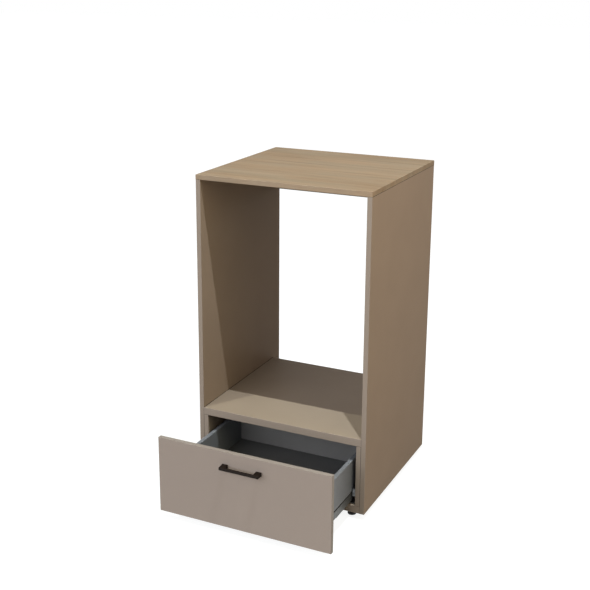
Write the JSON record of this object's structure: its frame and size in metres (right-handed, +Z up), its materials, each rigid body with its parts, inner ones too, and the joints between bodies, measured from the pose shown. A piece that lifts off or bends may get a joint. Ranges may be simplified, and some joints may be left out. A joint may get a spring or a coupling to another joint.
{
  "type": "washing machine cabinet",
  "caption": "Raised washing machine cabinet: open-backed bay under an oak-decor top, thick platform at working height and a wide full-extension drawer in the base.",
  "frame": {"origin": "on the floor, under the middle of the whole outline with the drawer standing open as pictured", "axes": "+X right, +Y from the drawer front to the back, +Z up"},
  "size_m": [0.675, 0.976, 1.21],
  "materials": {
    "oak_decor": "matt oak-decor laminate",
    "oak_band": "matt oak-decor edge band",
    "taupe_board": "matt taupe laminate",
    "taupe_band": "matt taupe edge band",
    "front_lacquer": "matt greige laminate",
    "front_band": "matt greige edge band",
    "drawer_steel": "satin grey powder coat",
    "drawer_board": "grey laminate",
    "runner_zinc": "zinc-plated",
    "handle_bronze": "dark bronze satin",
    "foot_black": "black moulded",
    "fastener_zinc": "zinc-plated",
    "beech": "raw beech",
    "roller_nylon": "natural nylon",
    "bumper_rubber": "clear soft"
  },
  "bodies": {
    "cabinet": {"base_back_panel": "taupe_board", "base_edge_bands": "taupe_band", "bottom_panel": "taupe_board", "cam_bolts": "fastener_zinc", "cam_locks": "fastener_zinc", "confirmat_screws": "fastener_zinc", "dowels": "beech", "foot_sockets": "foot_black", "left_base_upright": "taupe_board", "left_runner_cabinet_rail": "runner_zinc", "left_side_edge_bands": "taupe_band", "left_side_panel": "taupe_board", "platform_edge_bands": "taupe_band", "platform_panel": "taupe_board", "rear_top_rail": "taupe_board", "right_base_upright": "taupe_board", "right_runner_cabinet_rail": "runner_zinc", "right_side_edge_bands": "taupe_band", "right_side_panel": "taupe_board", "runner_screws": "fastener_zinc", "top_edge_bands": "oak_band", "top_panel": "oak_decor", "upright_screws": "fastener_zinc"},
    "drawer": {"bumper_pads": "bumper_rubber", "drawer_back": "drawer_board", "drawer_bottom": "drawer_board", "drawer_front": "front_lacquer", "drawer_front_edge_bands": "front_band", "drawer_left_side": "drawer_steel", "drawer_right_side": "drawer_steel", "drawer_screws": "fastener_zinc", "handle": "handle_bronze", "handle_screws": "fastener_zinc", "left_front_bracket": "fastener_zinc", "left_rear_bracket": "fastener_zinc", "left_runner_drawer_rail": "runner_zinc", "right_front_bracket": "fastener_zinc", "right_rear_bracket": "fastener_zinc", "right_runner_drawer_rail": "runner_zinc"},
    "runner_middle": {"left_runner_middle_rail": "runner_zinc", "right_runner_middle_rail": "runner_zinc"},
    "runner_lower_cages": {"lower_roller_cages": "roller_nylon", "lower_rollers": "roller_nylon"},
    "runner_upper_cages": {"upper_roller_cages": "roller_nylon", "upper_rollers": "roller_nylon"},
    "foot_front_left": {"foot_front_left_pad": "foot_black", "foot_front_left_screw": "fastener_zinc"},
    "foot_front_right": {"foot_front_right_pad": "foot_black", "foot_front_right_screw": "fastener_zinc"},
    "foot_rear_left": {"foot_rear_left_pad": "foot_black", "foot_rear_left_screw": "fastener_zinc"},
    "foot_rear_right": {"foot_rear_right_pad": "foot_black", "foot_rear_right_screw": "fastener_zinc"}
  },
  "joints": [
    {"name": "drawer_slide", "type": "slide", "parent": "cabinet", "child": "drawer", "axis": [0, -1, 0], "range_m": [-0.276, 0.204]},
    {"name": "runner_middle_slide", "type": "slide", "parent": "cabinet", "child": "runner_middle", "axis": [0, -1, 0], "range_m": [-0.138, 0.102]},
    {"name": "runner_lower_cage_slide", "type": "slide", "parent": "cabinet", "child": "runner_lower_cages", "axis": [0, -1, 0], "range_m": [-0.069, 0.051]},
    {"name": "runner_upper_cage_slide", "type": "slide", "parent": "cabinet", "child": "runner_upper_cages", "axis": [0, -1, 0], "range_m": [-0.207, 0.153]},
    {"name": "foot_front_left_turn", "type": "hinge", "parent": "cabinet", "child": "foot_front_left", "pos_m": [-0.2775, -0.127, 0], "axis": [0, 0, 1], "continuous": true},
    {"name": "foot_front_right_turn", "type": "hinge", "parent": "cabinet", "child": "foot_front_right", "pos_m": [0.2775, -0.127, 0], "axis": [0, 0, 1], "continuous": true},
    {"name": "foot_rear_left_turn", "type": "hinge", "parent": "cabinet", "child": "foot_rear_left", "pos_m": [-0.2775, 0.393, 0], "axis": [0, 0, 1], "continuous": true},
    {"name": "foot_rear_right_turn", "type": "hinge", "parent": "cabinet", "child": "foot_rear_right", "pos_m": [0.2775, 0.393, 0], "axis": [0, 0, 1], "continuous": true}
  ],
  "couplings": [
    {"joint": "runner_middle_slide", "follows": "drawer_slide", "ratio": 0.5},
    {"joint": "runner_lower_cage_slide", "follows": "drawer_slide", "ratio": 0.25},
    {"joint": "runner_upper_cage_slide", "follows": "drawer_slide", "ratio": 0.75}
  ]
}
